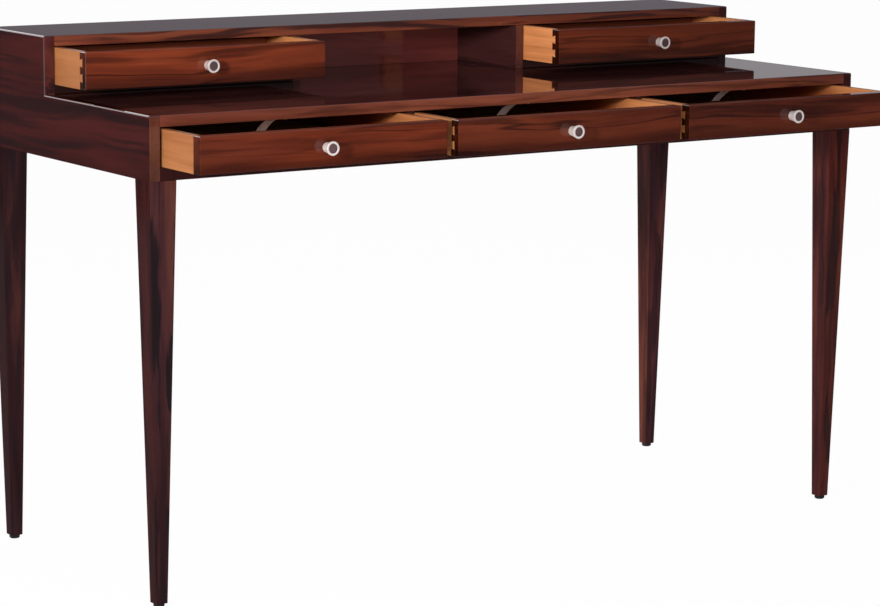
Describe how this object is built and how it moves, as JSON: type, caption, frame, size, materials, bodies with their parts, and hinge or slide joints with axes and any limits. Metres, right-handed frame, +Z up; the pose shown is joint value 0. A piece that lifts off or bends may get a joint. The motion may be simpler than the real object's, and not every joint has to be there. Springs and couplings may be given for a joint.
{
  "type": "writing desk",
  "caption": "Writing desk on slim tapered legs: a shallow case with sliding drawers under a polished top, and a raised gallery with small drawers either side of an open pigeonhole.",
  "frame": {"origin": "middle of the whole outline on the floor, with the drawers standing open as stored", "axes": "+X to the right of a person facing the drawers, -Y the way the drawers pull out, +Z up"},
  "size_m": [1.4, 0.7006, 0.864],
  "materials": {
    "rosewood": "dark reddish-brown rosewood veneer under a high-gloss polish",
    "pale_timber": "pale orange-tan solid timber, thinly sealed",
    "drawer_ply": "thin plywood, thinly sealed",
    "satin_nickel": "satin nickel plate",
    "spring_steel": "pale lacquered spring steel",
    "glide_nylon": "plain black nylon"
  },
  "bodies": {
    "case": {"desk_top": "rosewood", "left_end_panel": "rosewood", "right_end_panel": "rosewood", "case_bottom": "rosewood", "back_apron": "rosewood", "left_partition": "rosewood", "right_partition": "rosewood", "gallery_top": "rosewood", "gallery_back": "rosewood", "gallery_left_divider": "rosewood", "gallery_right_divider": "rosewood", "gallery_left_floor": "rosewood", "gallery_right_floor": "rosewood", "front_left_leg": "rosewood", "front_right_leg": "rosewood", "back_left_leg": "rosewood", "back_right_leg": "rosewood", "left_side_guide": "pale_timber", "right_side_guide": "pale_timber", "front_left_glide": "glide_nylon", "front_right_glide": "glide_nylon", "back_left_glide": "glide_nylon", "back_right_glide": "glide_nylon", "left_stop_leaf": "spring_steel", "left_leaf_screw": "spring_steel", "middle_stop_leaf": "spring_steel", "middle_leaf_screw": "spring_steel", "right_stop_leaf": "spring_steel", "right_leaf_screw": "spring_steel"},
    "upper_left_drawer": {"upper_left_drawer_front": "rosewood", "upper_left_drawer_left_side": "pale_timber", "upper_left_drawer_right_side": "pale_timber", "upper_left_drawer_back": "pale_timber", "upper_left_drawer_bottom": "drawer_ply", "upper_left_knob": "satin_nickel"},
    "upper_right_drawer": {"upper_right_drawer_front": "rosewood", "upper_right_drawer_left_side": "pale_timber", "upper_right_drawer_right_side": "pale_timber", "upper_right_drawer_back": "pale_timber", "upper_right_drawer_bottom": "drawer_ply", "upper_right_knob": "satin_nickel"},
    "lower_left_drawer": {"lower_left_drawer_front": "rosewood", "lower_left_drawer_left_side": "pale_timber", "lower_left_drawer_right_side": "pale_timber", "lower_left_drawer_back": "pale_timber", "lower_left_drawer_bottom": "drawer_ply", "lower_left_knob": "satin_nickel"},
    "lower_middle_drawer": {"lower_middle_drawer_front": "rosewood", "lower_middle_drawer_left_side": "pale_timber", "lower_middle_drawer_right_side": "pale_timber", "lower_middle_drawer_back": "pale_timber", "lower_middle_drawer_bottom": "drawer_ply", "lower_middle_knob": "satin_nickel"},
    "lower_right_drawer": {"lower_right_drawer_front": "rosewood", "lower_right_drawer_left_side": "pale_timber", "lower_right_drawer_right_side": "pale_timber", "lower_right_drawer_back": "pale_timber", "lower_right_drawer_bottom": "drawer_ply", "lower_right_knob": "satin_nickel"}
  },
  "joints": [
    {"name": "upper_left_drawer_slide", "type": "slide", "parent": "case", "child": "upper_left_drawer", "axis": [0, -1, 0], "range_m": [-0.106, 0.024]},
    {"name": "upper_right_drawer_slide", "type": "slide", "parent": "case", "child": "upper_right_drawer", "axis": [0, -1, 0], "range_m": [-0.105, 0.025]},
    {"name": "lower_left_drawer_slide", "type": "slide", "parent": "case", "child": "lower_left_drawer", "axis": [0, -1, 0], "range_m": [-0.114, 0.296]},
    {"name": "lower_middle_drawer_slide", "type": "slide", "parent": "case", "child": "lower_middle_drawer", "axis": [0, -1, 0], "range_m": [-0.123, 0.287]},
    {"name": "lower_right_drawer_slide", "type": "slide", "parent": "case", "child": "lower_right_drawer", "axis": [0, -1, 0], "range_m": [-0.127, 0.283]}
  ]
}
